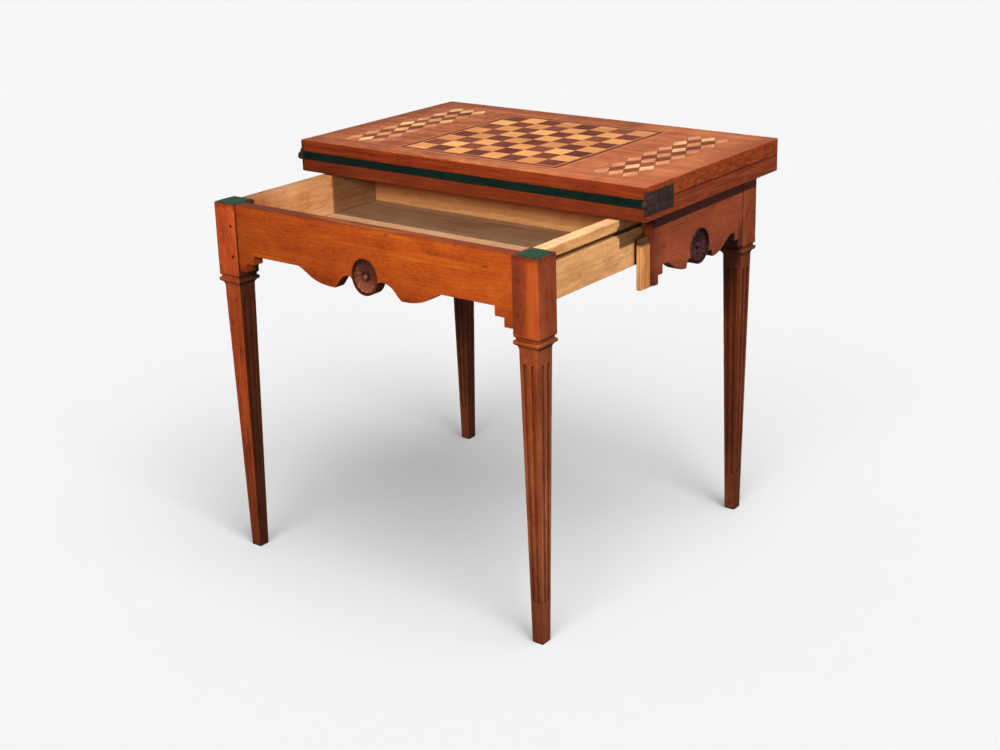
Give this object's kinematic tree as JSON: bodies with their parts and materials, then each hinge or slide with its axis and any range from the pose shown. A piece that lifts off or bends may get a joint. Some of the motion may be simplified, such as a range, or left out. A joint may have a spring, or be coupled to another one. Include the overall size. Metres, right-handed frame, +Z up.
{
  "type": "fold-over games table",
  "caption": "Fold-over games table with an inlaid chequer board, a hinged leaf, a sliding front frame on fluted tapered legs, and a store under the top.",
  "frame": {"origin": "on the floor under the middle of the table's box, front frame pulled out and leaf shut", "axes": "+X to the right of a person facing the front apron, +Y to the back, +Z up"},
  "size_m": [0.7952, 0.732, 0.75],
  "materials": {
    "cherry": "waxed, worn",
    "cherry_top": "waxed, worn",
    "beech": "bare, planed",
    "carved": "dark waxed carving",
    "inlay_light": "waxed veneer",
    "inlay_dark": "waxed veneer",
    "inlay_cream": "waxed veneer",
    "inlay_tan": "waxed veneer",
    "inlay_brown": "waxed veneer",
    "peg_wood": "waxed end grain",
    "baize": "napped wool cloth",
    "iron": "dark, rubbed"
  },
  "bodies": {
    "base": {"back_leg_left": "cherry", "back_leg_right": "cherry", "back_apron": "cherry", "side_apron_left": "cherry", "side_apron_right": "cherry", "rosette_back": "carved", "rosette_left": "carved", "rosette_right": "carved", "lower_leaf": "cherry_top", "baize_lower": "baize", "tongue_left": "beech", "tongue_right": "beech", "runner_left": "beech", "runner_right": "beech", "hinge_lower_left": "iron", "hinge_lower_right": "iron", "hinge_pins": "iron", "hinge_screws_lower": "iron", "pegs_frame": "peg_wood"},
    "front_frame": {"front_leg_left": "cherry", "front_leg_right": "cherry", "front_apron": "cherry", "rosette_front": "carved", "rail_left": "beech", "rail_right": "beech", "box_bottom": "beech", "box_back": "beech", "leg_pad_left": "baize", "leg_pad_right": "baize", "pegs_front": "peg_wood"},
    "top_leaf": {"upper_leaf": "cherry_top", "squares_light": "inlay_light", "squares_dark": "inlay_dark", "stringing_inner": "inlay_light", "stringing_dark": "inlay_dark", "stringing_outer": "inlay_light", "lozenges_cream": "inlay_cream", "lozenges_tan": "inlay_tan", "lozenges_dark": "inlay_brown", "baize_upper": "baize", "hinge_upper_left": "iron", "hinge_upper_right": "iron", "hinge_screws_upper": "iron"}
  },
  "joints": [
    {"name": "front_slide", "type": "slide", "parent": "base", "child": "front_frame", "axis": [0, 1, 0], "range_m": [0, 0.29]},
    {"name": "leaf_hinge", "type": "hinge", "parent": "base", "child": "top_leaf", "pos_m": [0, -0.1003, 0.719], "axis": [1, 0, 0], "range_deg": [0, 180]}
  ]
}
